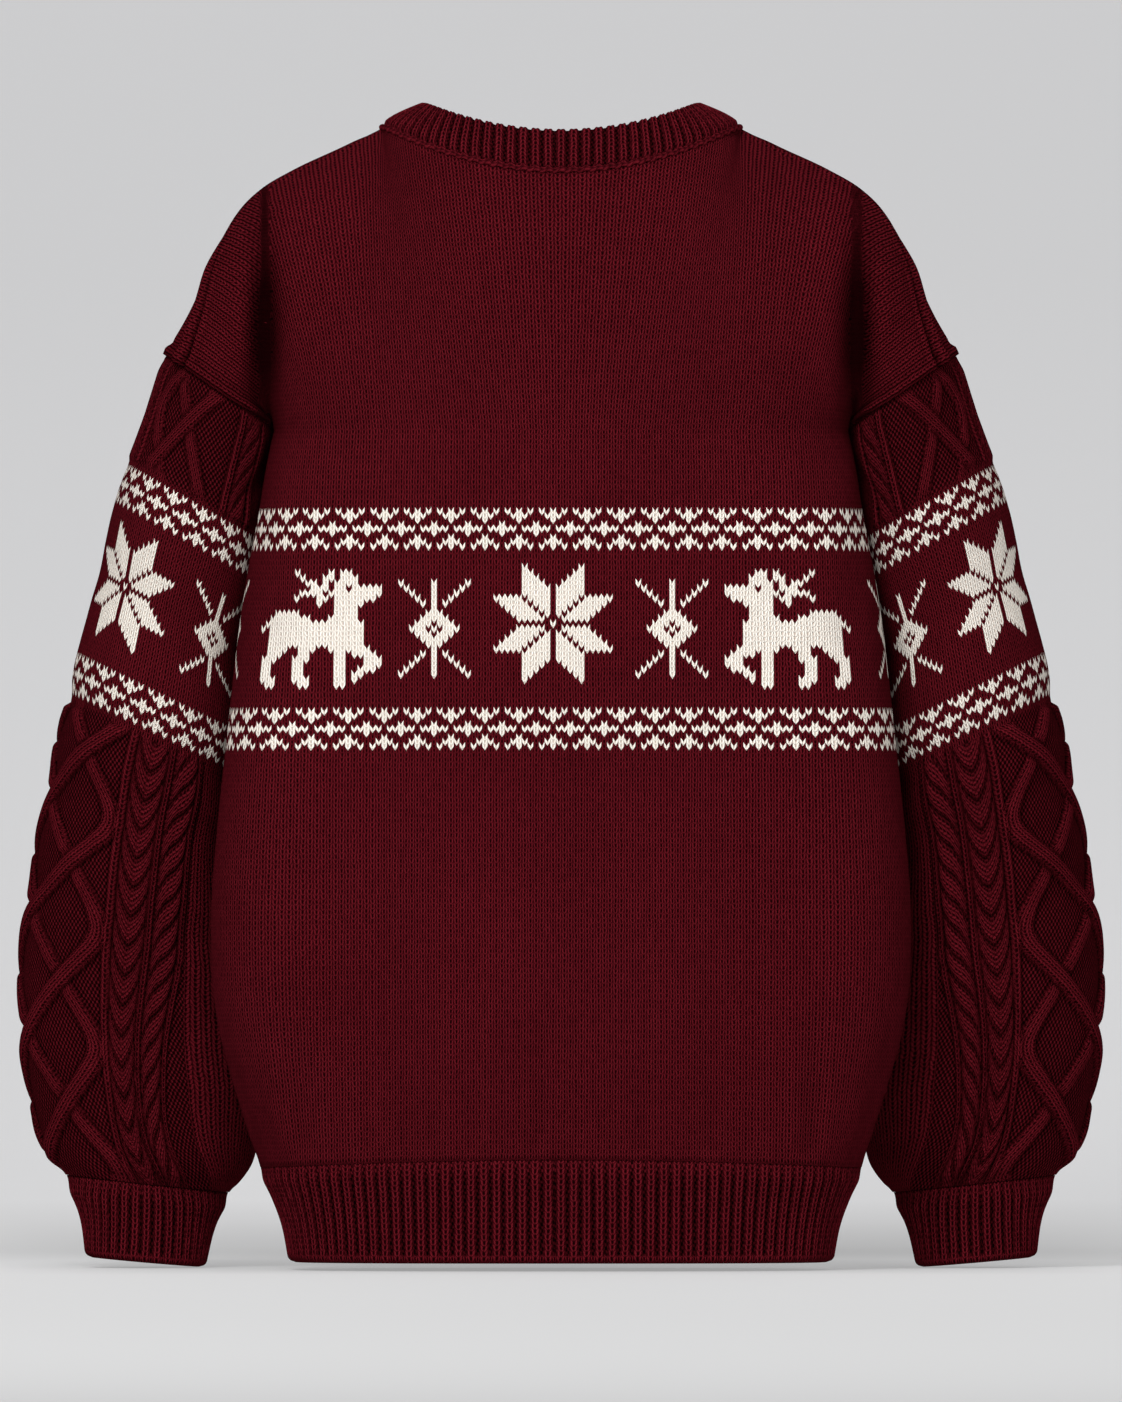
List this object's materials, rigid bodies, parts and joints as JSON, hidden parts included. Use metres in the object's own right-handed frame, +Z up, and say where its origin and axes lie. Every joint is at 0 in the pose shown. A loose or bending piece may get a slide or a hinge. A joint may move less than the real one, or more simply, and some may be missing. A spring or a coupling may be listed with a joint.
{
  "type": "christmas sweater",
  "caption": "Crew-neck christmas sweater with drop shoulders, balloon sleeves with cables and a fair isle band, hollow and filled out.",
  "frame": {"origin": "middle of the neck opening, level with the shoulder points, where a wearer's neck and shoulders hold the sweater", "axes": "+Z up, +Y towards the sweater's back, +X towards the wearer's left sleeve"},
  "size_m": [0.6556, 0.2812, 0.7033],
  "materials": {
    "wool": "matte maroon wool knit with cream colour work",
    "rib": "matte maroon wool rib"
  },
  "bodies": {
    "root": {"back_panel": "wool", "front_panel": "wool", "hem_rib": "rib", "collar": "rib", "sleeve_left": "wool", "sleeve_right": "wool", "cuff_left": "rib", "cuff_right": "rib"}
  },
  "joints": []
}
